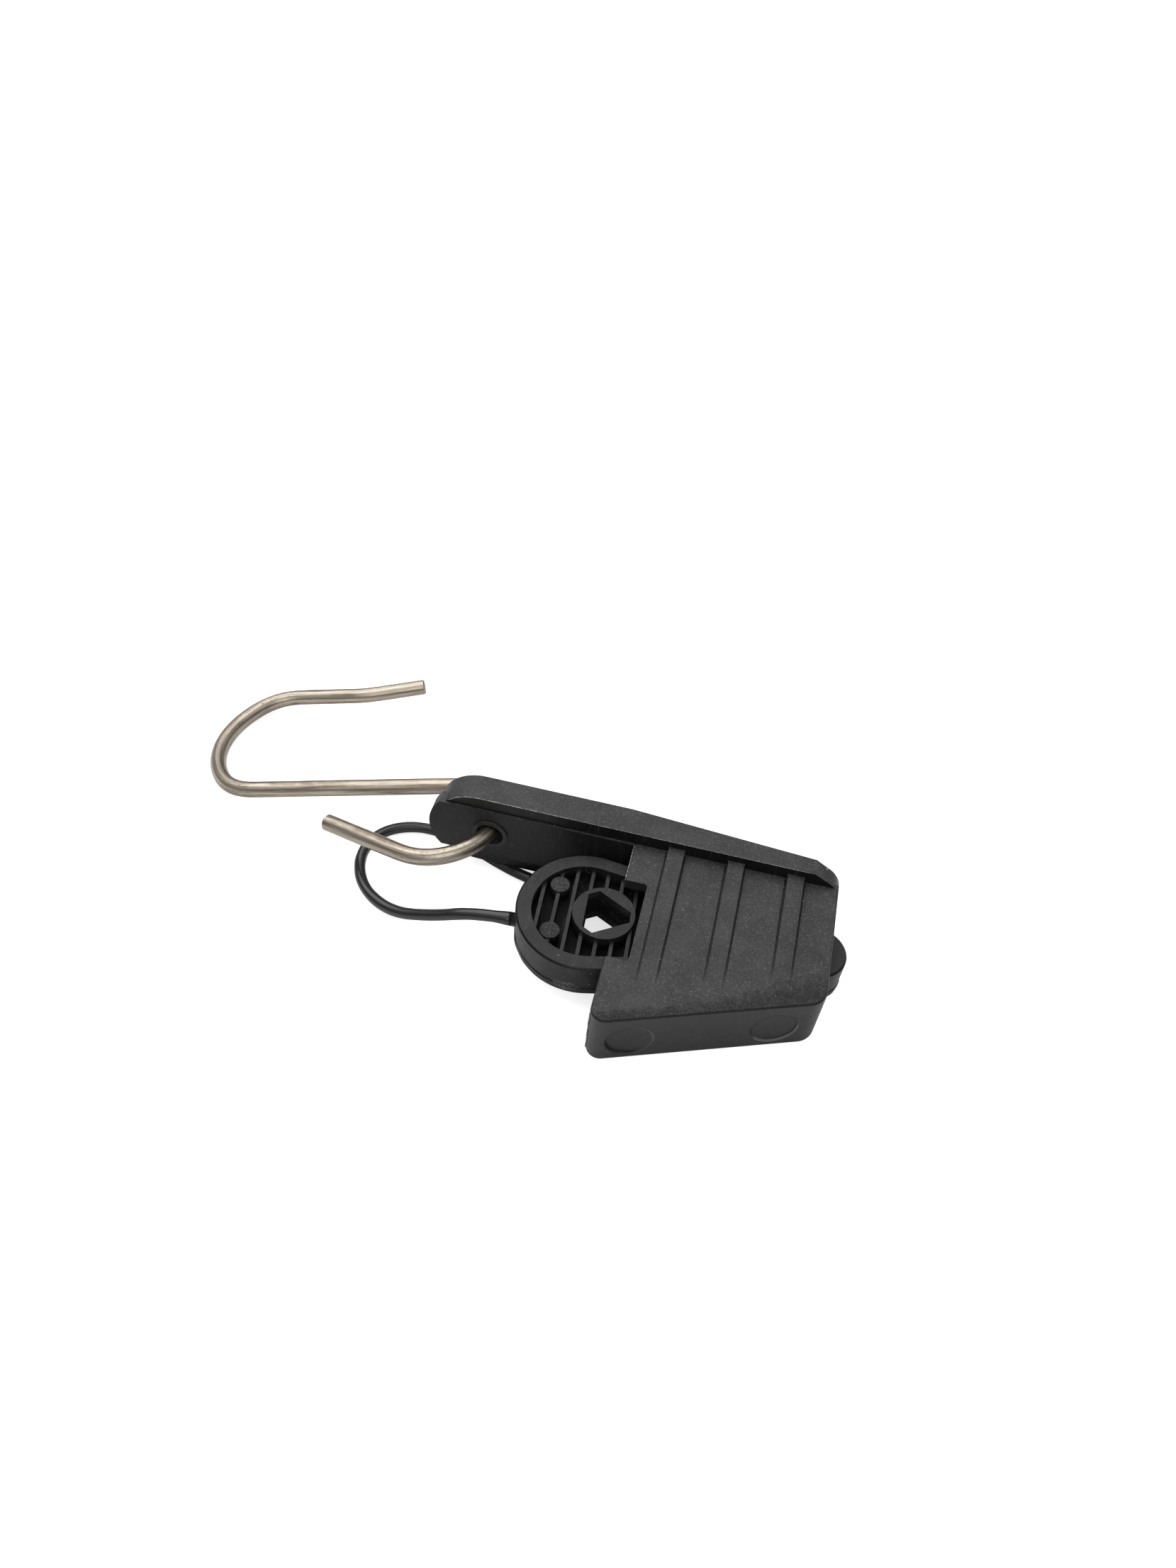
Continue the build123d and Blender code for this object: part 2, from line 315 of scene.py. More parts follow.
def softenEdges(node, edges, smoothFaces):
    weld = node.modifiers.new("joinTriangles", "WELD")
    weld.merge_threshold = edges["weld"] * mm
    flat = node.modifiers.new("flatFaces", "DECIMATE")
    flat.decimate_type = "DISSOLVE"
    flat.angle_limit = radians(edges["flatAngle"])
    node.modifiers.new("smoothFaces", "NODES").node_group = smoothFaces
    bevel = node.modifiers.new("softEdges", "BEVEL")
    bevel.width = edges["width"] * mm
    bevel.segments = edges["segments"]
    bevel.limit_method = "ANGLE"
    bevel.angle_limit = radians(edges["angle"])
    bevel.miter_outer = "MITER_ARC"
    normals = node.modifiers.new("faceNormals", "WEIGHTED_NORMAL")
    normals.weight = 100
    normals.keep_sharp = True


smoothFaces = makeSmoothFaces()
for name in ("casing", "wedge"):
    softenEdges(nodes[name], softEdges, smoothFaces)
print("edges softened")

# Mould flash: thin fins along edges, each with a run of clamp points, the way it sticks out and its size
flashFins = {
    "armEdgeFlash": {"body": "casing", "out": (0, -0.7, 0.7), "reach": 0.32, "thick": 0.20, "seed": 5,
                     "corners": [(-38.0, 0.0, 13.35), (-36.2, 0.0, 14.70), (-34.2, 0.0, 15.52),
                                 (-31.7, 0.0, 15.85), (-24.0, 0.0, 15.85), (-12.0, 0.0, 15.85)]},
    "tipEdgeFlash": {"body": "casing", "out": (0, -0.7, 0.7), "reach": 0.12, "thick": 0.12, "seed": 8,
                     "corners": [(-12.0, 0.0, 15.85), (10.0, 0.0, 15.85), (34.0, 0.0, 15.85)]},
    "cornerFlash": {"body": "casing", "out": (-1, 0, 0), "reach": 0.10, "thick": 0.16, "seed": 21,
                    "corners": [(0.02, -38.7, 0.7), (0.02, -38.7, 6.0), (0.02, -38.7, 12.3)]},
    "notchFlash": {"body": "casing", "out": (-0.8, 0, 0.6), "reach": 0.09, "thick": 0.10, "seed": 33,
                   "corners": [(0.0, -9.3, 13.0), (0.0, -4.0, 13.0), (0.0, -0.2, 13.0)]},
}

# What the fins share: depth set into the edge, station spacing and fewest stations, length of the fade at
# the ends, share of the thickness left at the tip, and the jag's mean, slow and quick parts and limits; a part
# is its size and rate
finShape = {"root": 0.14, "spacing": 0.12, "fewest": 8, "fade": 0.8, "tip": 0.25,
            "mean": 0.55, "slow": (0.35, 0.9), "quick": (0.3, 4.1), "limits": (0.06, 1.2)}


# fin: a thin four-point section along the run, its reach following a jagged wander, zero at both ends
def makeFin(name, fin, shape):
    corners = np.array(fin["corners"], float)
    marks = np.r_[0, np.cumsum(np.linalg.norm(np.diff(corners, axis=0), axis=1))]
    run = np.linspace(0, marks[-1], int(marks[-1] / shape["spacing"]) + shape["fewest"])
    path = np.stack([np.interp(run, marks, corners[:, k]) for k in range(3)], 1)
    tangent = unit(np.gradient(path, axis=0))
    out = unit(np.broadcast_to(np.array(fin["out"], float), path.shape))
    across = unit(np.cross(tangent, out))
    jag = shape["mean"] + shape["slow"][0] * wander(run * shape["slow"][1], fin["seed"])
    jag += shape["quick"][0] * wander(run * shape["quick"][1], fin["seed"] + 1)
    ends = np.clip(np.minimum(run, marks[-1] - run) / shape["fade"], 0, 1)
    reach = fin["reach"] * np.clip(jag, *shape["limits"]) * ends
    half = fin["thick"] / 2
    tip = half * shape["tip"]
    root = -shape["root"]
    section = cornersAlong(len(run), [(root, -half), (reach, -tip), (reach, tip), (root, half)])
    piece = carryProfile(name, fromClamp(path), out @ clampAxes, across @ clampAxes, section * mm)
    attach(piece, fin["body"])
    return piece


finPieces = [makeFin(name, fin, finShape) for name, fin in flashFins.items()]

# Parting seam low on the wedge's wall: the lower mould half stands a little proud. Foot, lip and height are
# measured up from the bottom, and the proud shares are of the full step
wedgeSeam = {"centre": (-5.72, -16.25), "turn": 3.7, "head": 13.26, "tail": 5.55, "span": 43.4,
             "bottom": 2.35, "foot": 0.36, "lip": 0.55, "height": 1.9, "inset": 0.1, "proud": 0.15,
             "footShare": 0.3, "topShare": 0.6, "mean": 0.8, "uneven": 0.25, "rate": 9, "seed": 2,
             "stations": 360}


# outline of two circles and their tangents as a function of the direction it faces, with the section on it
def makeSeam(seam):
    facing = np.linspace(0, 2 * np.pi, seam["stations"], endpoint=False)
    lean = np.arcsin((seam["head"] - seam["tail"]) / seam["span"])
    onTail = np.abs((facing + np.pi) % (2 * np.pi) - np.pi) < np.pi / 2 - lean
    x = np.where(onTail, seam["span"] + seam["tail"] * np.cos(facing), seam["head"] * np.cos(facing))
    y = np.where(onTail, seam["tail"], seam["head"]) * np.sin(facing)
    turn = radians(seam["turn"])
    spin = np.array([[np.cos(turn), -np.sin(turn)], [np.sin(turn), np.cos(turn)]])
    line = np.c_[x, y] @ spin.T + seam["centre"]
    out = np.c_[np.cos(facing + turn), np.sin(facing + turn), np.zeros_like(facing)]
    path = np.c_[line, np.full(len(line), seam["bottom"])]
    proud = seam["proud"] * (seam["mean"] + seam["uneven"] * wander(facing * seam["rate"], seam["seed"]))
    section = cornersAlong(len(path), [
        (-seam["inset"], seam["height"]), (seam["topShare"] * proud, seam["height"]),
        (proud, seam["height"] - seam["inset"]), (proud, seam["lip"]),
        (seam["footShare"] * proud, seam["foot"]), (-seam["inset"], seam["foot"])])
    up = np.broadcast_to(np.array([0, 0, 1.0]), out.shape)
    piece = carryProfile(
        "wedgeSeam", fromClamp(path), out @ clampAxes, up @ clampAxes, section * mm, loop=True)
    piece.data.polygons.foreach_set("use_smooth", np.zeros(len(piece.data.polygons), bool))
    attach(piece, "wedge")
    return piece


seamPiece = makeSeam(wedgeSeam)

# Curled hair of flash on the inner edge of the wedge's rim
flashHair = {"centre": (-7.1, -6.75, 10.3), "reach": (1.0, 0.95), "start": 1.25, "turns": 0.6, "thick": 0.07,
             "tighten": 0.2, "rise": 0.12, "taper": 0.6, "stations": 48, "around": 8}


# part of an ellipse that tightens as it goes, with a round section; it starts inside the rim
def makeHair(hair):
    t = np.linspace(0, 1, hair["stations"])
    angle = hair["start"] + t * hair["turns"] * 2 * np.pi
    tight = 1 - hair["tighten"] * t
    along, across = hair["reach"]
    curl = np.c_[along * tight * np.cos(angle), across * tight * np.sin(angle), hair["rise"] * t]
    path = np.array(hair["centre"]) + curl
    tangent = unit(np.gradient(path, axis=0))
    side = unit(np.cross(tangent, np.array([0, 0, 1.0])))
    up = np.cross(side, tangent)
    around = np.linspace(0, 2 * np.pi, hair["around"], endpoint=False)
    size = (hair["thick"] * (1 - hair["taper"] * t))[:, None]
    section = np.stack([size * np.cos(around), size * np.sin(around)], -1)
    piece = carryProfile("flashHair", fromClamp(path), side @ clampAxes, up @ clampAxes, section * mm)
    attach(piece, "wedge")
    return piece


hairPiece = makeHair(flashHair)
print("flash and seam added")


# Node helpers: fill a node's inputs, place a node, sums and products, a smooth step and a colour mix
def fill(tree, node, inputs):
    for key, value in (inputs or {}).items():
        if isinstance(value, bpy.types.NodeSocket):
            tree.links.new(value, node.inputs[key])
        else:
            node.inputs[key].default_value = value


def put(tree, kind, inputs=None, **settings):
    node = tree.nodes.new("ShaderNode" + kind)
    for key, value in settings.items():
        setattr(node, key, value)
    fill(tree, node, inputs)
    return node


def calc(tree, operation, a, b=0.0, clamp=False):
    return put(tree, "Math", {0: a, 1: b}, operation=operation, use_clamp=clamp).outputs[0]


def plus(tree, a, b, clamp=False):
    return calc(tree, "ADD", a, b, clamp)


def minus(tree, a, b, clamp=False):
    return calc(tree, "SUBTRACT", a, b, clamp)


def times(tree, value, *factors):
    for factor in factors:
        value = calc(tree, "MULTIPLY", value, factor)
    return value


def opposite(tree, mask):
    return calc(tree, "SUBTRACT", 1.0, mask)


def larger(tree, a, b):
    return calc(tree, "MAXIMUM", a, b)


# how far apart two numbers are, and two points
def apart(tree, a, b):
    return calc(tree, "ABSOLUTE", calc(tree, "SUBTRACT", a, b))


def distance(tree, a, b):
    return put(tree, "VectorMath", {0: a, 1: b}, operation="DISTANCE").outputs["Value"]


def step(tree, value, low, high, start=0.0, end=1.0):
    return put(tree, "MapRange", {"Value": value, "From Min": low, "From Max": high, "To Min": start,
                                  "To Max": end}, interpolation_type="SMOOTHSTEP").outputs["Result"]


def mixColor(tree, factor, a, b):
    return put(tree, "Mix", {0: factor, 6: a, 7: b}, data_type="RGBA").outputs[2]


def scaled(tree, vector, scale):
    return put(tree, "VectorMath", {0: vector, 1: scale}, operation="MULTIPLY").outputs[0]


def noise(tree, vector, scale, detail=3.0, rough=0.55):
    inputs = {"Vector": vector, "Scale": scale, "Detail": detail, "Roughness": rough}
    return put(tree, "TexNoise", inputs).outputs[0]


def emboss(tree, shader, height, depth, strength=1.0):
    bump = put(tree, "Bump", {"Height": height, "Strength": strength, "Distance": depth * mm})
    tree.links.new(bump.outputs[0], shader["Normal"])


def newGroup(name, inputs, outputs):
    tree = bpy.data.node_groups.new(name, "ShaderNodeTree")
    for label, kind, value in inputs:
        socket = tree.interface.new_socket(label, in_out="INPUT", socket_type="NodeSocket" + kind)
        if value is not None:
            socket.default_value = value
    for label, kind in outputs:
        tree.interface.new_socket(label, in_out="OUTPUT", socket_type="NodeSocket" + kind)
    return tree, tree.nodes.new("NodeGroupInput").outputs, tree.nodes.new("NodeGroupOutput").inputs


def useGroup(tree, group, inputs=None):
    node = tree.nodes.new("ShaderNodeGroup")
    node.node_tree = group
    fill(tree, node, inputs)
    return node.outputs


def newMaterial(name):
    material = bpy.data.materials.new(name)
    material.use_nodes = True
    tree = material.node_tree
    return material, tree, tree.nodes["Principled BSDF"].inputs


# place and facing of a surface point on the clamp's own axes, in millimetres
def makeClampSpace():
    tree, _, out = newGroup("clampSpace", [], [("Point", "Vector"), ("Facing", "Vector")])
    coords = put(tree, "TexCoord").outputs
    turn = (radians(clampFrame["roll"]), radians(clampFrame["pitch"]), 0)
    point = put(tree, "Mapping", {"Vector": coords["Object"], "Rotation": turn, "Scale": (mm, mm, mm),
                                  "Location": Vector(clampFrame["shift"]) * mm}, vector_type="TEXTURE")
    facing = put(tree, "Mapping", {"Vector": coords["Normal"], "Rotation": turn}, vector_type="TEXTURE")
    tree.links.new(point.outputs[0], out["Point"])
    tree.links.new(facing.outputs[0], out["Facing"])
    return tree


# spark-eroded mould grain: fine noise and cells for the height, and a slow change of tone
def makeMouldGrain():
    tree, given, out = newGroup("mouldGrain", [("Point", "Vector", None), ("Size", "Float", 0.3)],
                                [("Height", "Float"), ("Tone", "Float")])
    point = put(tree, "VectorMath", {0: given["Point"], 3: calc(tree, "DIVIDE", 1.0, given["Size"])},
                operation="SCALE").outputs[0]
    fine = noise(tree, point, 1.0, 4.0, 0.62)
    cells = put(tree, "TexVoronoi", {"Vector": point, "Scale": 0.8}, feature="SMOOTH_F1").outputs["Distance"]
    tree.links.new(plus(tree, times(tree, fine, 0.7), times(tree, cells, 0.4)), out["Height"])
    tree.links.new(step(tree, noise(tree, given["Point"], 0.16, 3.0), 0.3, 0.72), out["Tone"])
    return tree


# scattered specks: small spots round random cell points, kept where a cell's random value is high
def makeDustSpecks():
    values = [("Spacing", "Float", 2.0), ("Share", "Float", 0.3), ("Size", "Float", 0.1)]
    tree, given, out = newGroup("dustSpecks", [("Point", "Vector", None), *values], [("Mask", "Float")])
    warp = put(tree, "TexNoise", {"Vector": given["Point"], "Scale": 3.0}).outputs[1]
    bent = put(tree, "VectorMath", {0: warp, 1: (0.12, 0.12, 0.12), 2: given["Point"]},
               operation="MULTIPLY_ADD").outputs[0]
    density = calc(tree, "DIVIDE", 1.0, given["Spacing"])
    cells = put(tree, "TexVoronoi", {"Vector": bent, "Scale": density}).outputs
    pick = put(tree, "SeparateColor", {"Color": cells["Color"]}).outputs
    reach = times(tree, given["Size"], plus(tree, pick[1], 0.35))
    reach = calc(tree, "DIVIDE", reach, given["Spacing"])
    near = calc(tree, "LESS_THAN", cells["Distance"], reach)
    keep = calc(tree, "GREATER_THAN", pick[0], opposite(tree, given["Share"]))
    tree.links.new(times(tree, near, keep), out["Mask"])
    return tree


# hairline scratches: thin level lines of a noise, here and there
def makeScratches():
    tree, given, out = newGroup(
        "scratches", [("Point", "Vector", None), ("Width", "Float", 0.012)], [("Mask", "Float")])
    field = noise(tree, given["Point"], 1.0, 2.0, 0.6)
    thin = calc(tree, "LESS_THAN", apart(tree, field, 0.5), given["Width"])
    gate = step(tree, noise(tree, given["Point"], 0.37, 1.0), 0.5, 0.62)
    tree.links.new(times(tree, thin, gate), out["Mask"])
    return tree


clampSpace = makeClampSpace()
mouldGrain = makeMouldGrain()
dustSpecks = makeDustSpecks()
scratches = makeScratches()
print("shader groups made")

turnedTo = (0.6, 0.9)       # a face is turned to an axis from the second cosine on, and not below the first


# a surface point's place, its coordinates, its facing and a mask of the faces square to z
def readClamp(tree):
    space = useGroup(tree, clampSpace)
    spot = put(tree, "SeparateXYZ", {0: space["Point"]}).outputs
    face = put(tree, "SeparateXYZ", {0: space["Facing"]}).outputs
    broad = step(tree, calc(tree, "ABSOLUTE", face[2]), *turnedTo)
    return space["Point"], spot, face, broad


# mask of the soft strip where an upper face turns over its edge
def turnedEdge(tree, face):
    return times(tree, step(tree, face[2], 0.25, 0.5), step(tree, face[2], 0.97, 0.85))


# Casing plastic: dark grained nylon with a rough band along the near edge, places and widths in millimetres
casingFinish = {
    "dark": (0.022, 0.022, 0.0225, 1),
    "pale": (0.036, 0.036, 0.0365, 1),
    # painted shade for the faces that don't face up
    "side": (0.018, 0.018, 0.018, 1),
    # painted glints on the grain of the broad faces
    "paintedGlint": (0.13, 0.13, 0.13, 1),
    # painted shade on the arm's near face
    "armFaceShade": (0.004, 0.004, 0.004, 1),
    # grit, and also the painted shade in the lines beside the bars and on the recesses' lips, and the dark
    # line along the turned edge
    "gritAndShade": (0.005, 0.005, 0.005, 1),
    "hairline": (0.075, 0.075, 0.075, 1),
    # painted highlight on one side of each recess's lip
    "lipHighlight": (0.16, 0.16, 0.158, 1),
    "dust": (0.42, 0.415, 0.40, 1),
    "satin": 0.40,
    "mattMore": 0.14,
    "specular": 0.25,
    "grainSize": 0.3,
    "grainDepth": 0.06,
    # the arm's side of the casing, and the near face: its distance from the arm, its slope and its start
    "armEdge": (-0.55, -0.4),
    "wide": 41.33,
    "slope": 0.38275,
    "nearEdge": (-20.0, -24.0),
    # the rough band: where along x it widens, from which width to which, and the casing's half height
    "bandSpan": (18.0, 39.0),
    "bandWidth": (3.2, 8.5),
    "middle": 6.5,
    # painted shade along both sides of each bar: middle of the bar and where the shade ends
    "bars": [(8.25, -31.5), (19.9, -28.5), (31.5, -24.5)],
    "barHalf": 1.75,
    "barLine": (0.24, 0.08),
    "barFade": (-1.0, 6.0),
    # round recesses: centre along x, then the way and strength of the painted shadow edge and of the painted
    # highlight edge
    "discs": [(7.6, (-0.6, 0.8), 0.8, (1.0, 0.1), 0.35), (32.3, (-0.4, 0.92), 0.95, (0.4, -0.92), 0.9)],
    "discHeight": 5.8,
    "discRadius": 4.3,
    "discLine": (0.2, 0.1),
    "shadowOut": 0.1,
}


# length along the near face for a length along x
def nearLean(look):
    return (1 + look["slope"] ** 2) ** 0.5


# grit in blotches on the broad faces, thicker towards the near edge
def gritBand(tree, look, spot, broad, blotch):
    fromArm = minus(tree, spot[1], times(tree, spot[0], look["slope"]))
    behind = calc(tree, "DIVIDE", plus(tree, fromArm, look["wide"]), nearLean(look))
    width = step(tree, spot[0], *look["bandSpan"], *look["bandWidth"])
    band = minus(tree, 1.0, calc(tree, "DIVIDE", behind, width), clamp=True)
    fromMiddle = apart(tree, spot[2], look["middle"])
    band = times(tree, band, step(tree, fromMiddle, look["middle"] - 1.0, look["middle"] - 0.5), broad)
    rough = step(tree, plus(tree, blotch, times(tree, band, 0.5)), 0.52, 0.86)
    return times(tree, rough, step(tree, band, 0.0, 0.45))


# painted shade in a line on each side of a bar, fading out towards its end
def barShade(tree, look, spot, broad):
    shadeLines = 0.0
    for centre, end in look["bars"]:
        fromSide = apart(tree, apart(tree, spot[0], centre), look["barHalf"])
        line = step(tree, fromSide, *look["barLine"], 0.0, 0.9)
        line = times(tree, line, step(tree, spot[1], *(end + fade for fade in look["barFade"])))
        shadeLines = larger(tree, shadeLines, line)
    return times(tree, shadeLines, broad)


# lips of the round recesses: a painted shadow line along one side and a painted highlight line along another
def recessLips(tree, look, spot, color, shadeLines):
    onNear = step(tree, spot[1], *look["nearEdge"])
    rise = minus(tree, spot[2], look["discHeight"])
    for centre, shadowWay, shadowAmount, highlightWay, highlightAmount in look["discs"]:
        across = times(tree, minus(tree, spot[0], centre), nearLean(look))
        away = calc(tree, "SQRT", plus(tree, times(tree, across, across), times(tree, rise, rise)))
        lines = []
        for way, amount, out in ((shadowWay, shadowAmount, look["shadowOut"]), (highlightWay, highlightAmount, 0.0)):
            line = step(tree, apart(tree, away, look["discRadius"] + out), *look["discLine"], 0.0, amount)
            toward = plus(tree, times(tree, across, way[0]), times(tree, rise, way[1]))
            lines.append(times(tree, line, onNear, step(tree, toward, 0.2, 1.8)))
        color = mixColor(tree, lines[0], color, look["gritAndShade"])
        color = mixColor(tree, lines[1], color, look["lipHighlight"])
        shadeLines = plus(tree, shadeLines, lines[0])
    return color, shadeLines


def makeCasingPlastic(look):
    material, tree, shader = newMaterial("casingPlastic")
    point, spot, face, upward = readClamp(tree)
    nearward = step(tree, times(tree, face[1], -1.0), *turnedTo)
    onArm = step(tree, spot[1], *look["armEdge"])
    offArm = opposite(tree, onArm)
    broad = times(tree, upward, offArm)
    grain = useGroup(tree, mouldGrain, {"Point": point, "Size": look["grainSize"]})
    blotch = noise(tree, point, 0.7, 4.0, 0.65)
    pits = noise(tree, point, 4.2, 3.0, 0.75)
    rough = gritBand(tree, look, spot, broad, blotch)
    # tone, painted shade on the sides, painted glints on the grain, painted shade on the arm's near face, and
    # grit
    color = mixColor(tree, grain["Tone"], look["dark"], look["pale"])
    color = mixColor(tree, times(tree, opposite(tree, upward), 0.7), color, look["side"])
    paintedGlint = step(tree, noise(tree, point, 5.2, 2.0, 0.7), 0.54, 0.72)
    coarse = step(tree, noise(tree, point, 1.9, 2.0, 0.75), 0.54, 0.74, 0.0, 0.8)
    paintedGlint = times(tree, larger(tree, paintedGlint, coarse), step(tree, upward, 0.0, 1.0, 0.08, 0.6))
    color = mixColor(tree, paintedGlint, color, look["paintedGlint"])
    color = mixColor(tree, times(tree, onArm, nearward, 0.92), color, look["armFaceShade"])
    color = mixColor(tree, times(tree, rough, step(tree, pits, 0.38, 0.58, 0.9, 0.1)), color, look["gritAndShade"])
    # hairlines on the near faces
    lines = useGroup(tree, scratches, {"Point": scaled(tree, point, (3.4, 1.0, 0.10)), "Width": 0.02})
    swirl = useGroup(tree, scratches, {"Point": scaled(tree, point, (0.35, 0.35, 3.0)), "Width": 0.016})
    hair = times(tree, mixColor(tree, onArm, swirl["Mask"], lines["Mask"]), nearward)
    color = mixColor(tree, times(tree, hair, 0.3), color, look["hairline"])
    # painted shade beside the bars, a thin dark line where the broad face turns over, and painted shadow and
    # highlight on the recesses' lips
    shadeLines = barShade(tree, look, spot, broad)
    color = mixColor(tree, shadeLines, color, look["gritAndShade"])
    turned = times(tree, turnedEdge(tree, face), step(tree, face[1], -0.15, -0.35, 0.0, 0.85), offArm)
    color = mixColor(tree, turned, color, look["gritAndShade"])
    color, shadeLines = recessLips(tree, look, spot, color, shadeLines)
    # dust, most of it on the broad faces
    fine = useGroup(tree, dustSpecks, {"Point": point, "Spacing": 1.0, "Share": 0.2, "Size": 0.07})
    large = useGroup(tree, dustSpecks, {"Point": point, "Spacing": 3.4, "Share": 0.3, "Size": 0.15})
    dust = times(tree, larger(tree, fine["Mask"], large["Mask"]), step(tree, upward, 0.0, 1.0, 0.12, 0.75))
    color = mixColor(tree, dust, color, look["dust"])
    tree.links.new(color, shader["Base Color"])
    # finish: matt on the broad faces, satin on the near faces
    matt = plus(tree, look["satin"], times(tree, upward, look["mattMore"]))
    matt = plus(tree, matt, times(tree, minus(tree, blotch, 0.5), 0.16))
    matt = plus(tree, matt, times(tree, rough, 0.15), clamp=True)
    tree.links.new(matt, shader["Roughness"])
    shader["Specular IOR Level"].default_value = look["specular"]
    height = times(tree, grain["Height"], step(tree, upward, 0.0, 1.0, 0.25, 1.0))
    height = plus(tree, height, times(tree, rough, pits, 1.3))
    height = minus(tree, height, times(tree, hair, 0.35))
    height = minus(tree, height, times(tree, shadeLines, 3.0))
    emboss(tree, shader, height, look["grainDepth"])
    return material


# Wedge plastic: the same nylon with a smoother face, with painted shade at the bottom of its pockets
wedgeFinish = {
    "dark": (0.010, 0.010, 0.0103, 1),
    "pale": (0.0185, 0.0185, 0.019, 1),
    # painted shade for the pocket floors and ring wall, also used for the thin dark line round the top edges
    "pocket": (0.002, 0.002, 0.002, 1),
    "crumb": (0.085, 0.085, 0.083, 1),
    "torn": (0.19, 0.19, 0.186, 1),
    "streak": (0.09, 0.09, 0.09, 1),
    "dust": (0.36, 0.35, 0.33, 1),
    "satin": 0.40,
    "specular": 0.2,
    "grainSize": 0.2,
    "grainDepth": 0.022,
    "middle": 6.4,
    "half": 4.05,
    "pocketDepth": (1.1, 2.4),
    "ring": (-5.72, -16.25, 0),
    "ringInside": (10.5, 10.2),
    "padSpots": [(-11.96, -11.24, 0), (-11.26, -22.02, 0)],
    "padRadius": (1.85, 1.75),
    "crumbScale": 6.5,
    "patch": (-6.0, -29.4, 4.5),
    "patchSize": (3.4, 2.0, 1.5),
}


# torn gate mark: a ragged patch round one point, and the rags in it
def tornPatch(tree, look, point):
    size = look["patchSize"]
    near = distance(tree, scaled(tree, point, tuple(1 / v for v in size)),
                    tuple(v / w for v, w in zip(look["patch"], size)))
    ragged = plus(tree, near, times(tree, noise(tree, point, 1.6, 3.0), 0.9))
    return step(tree, ragged, 1.35, 1.1), noise(tree, point, 3.2, 3.0, 0.7)


def makeWedgePlastic(look):
    material, tree, shader = newMaterial("wedgePlastic")
    point, spot, face, upward = readClamp(tree)
    level = scaled(tree, point, (1, 1, 0))
    grain = useGroup(tree, mouldGrain, {"Point": point, "Size": look["grainSize"]})
    blotch = noise(tree, point, 0.6, 4.0, 0.6)
    color = mixColor(tree, grain["Tone"], look["dark"], look["pale"])
    # painted shade on the pocket floors and ring wall, and a thin dark line round the top edges
    depth = minus(tree, look["half"], apart(tree, spot[2], look["middle"]))
    inside = step(tree, distance(tree, level, look["ring"]), *look["ringInside"])
    low = times(tree, step(tree, depth, *look["pocketDepth"]), larger(tree, upward, inside))
    color = mixColor(tree, low, color, look["pocket"])
    color = mixColor(tree, times(tree, turnedEdge(tree, face), 0.8), color, look["pocket"])
    # sparkling rough tops on the two ejector pads
    pads = 0.0
    for place in look["padSpots"]:
        pads = larger(tree, pads, step(tree, distance(tree, level, place), *look["padRadius"]))
    pads = times(tree, pads, upward)
    crumbs = put(tree, "TexVoronoi", {"Vector": point, "Scale": look["crumbScale"]}).outputs["Color"]
    crumbTone = put(tree, "SeparateColor", {"Color": crumbs}).outputs[0]
    sparkle = times(tree, pads, step(tree, crumbTone, 0.55, 1.0, 0.0, 0.8))
    color = mixColor(tree, sparkle, color, look["crumb"])
    # torn gate mark on the near side of the head
    torn, rags = tornPatch(tree, look, point)
    color = mixColor(tree, times(tree, torn, step(tree, rags, 0.5, 0.66, 0.15, 0.9)), color, look["torn"])
    specks = useGroup(tree, dustSpecks, {"Point": point, "Spacing": 1.6, "Share": 0.16, "Size": 0.11})
    color = mixColor(tree, times(tree, specks["Mask"], 0.5), color, look["dust"])
    streak = useGroup(tree, scratches, {"Point": scaled(tree, point, (1.4, 0.25, 0.9)), "Width": 0.016})
    color = mixColor(tree, times(tree, streak["Mask"], 0.3), color, look["streak"])
    tree.links.new(color, shader["Base Color"])
    matt = plus(tree, look["satin"], times(tree, minus(tree, blotch, 0.5), 0.2))
    matt = plus(tree, matt, times(tree, low, 0.35))
    matt = plus(tree, matt, times(tree, pads, 0.12), clamp=True)
    tree.links.new(matt, shader["Roughness"])
    shader["Specular IOR Level"].default_value = look["specular"]
    height = plus(tree, grain["Height"], times(tree, pads, crumbTone, 4.0))
    height = plus(tree, height, times(tree, torn, rags, 14.0))
    emboss(tree, shader, height, look["grainDepth"])
    return material


# Drawn wire: warm nickel grey with lengthwise streaks, brown scale and scuffs at the bends
wireFinish = {
    "pale": (0.465, 0.412, 0.345, 1),
    "deep": (0.24, 0.202, 0.16, 1),
    "scale": (0.105, 0.066, 0.045, 1),
    "satin": 0.23,
    "grainDepth": 0.03,
}


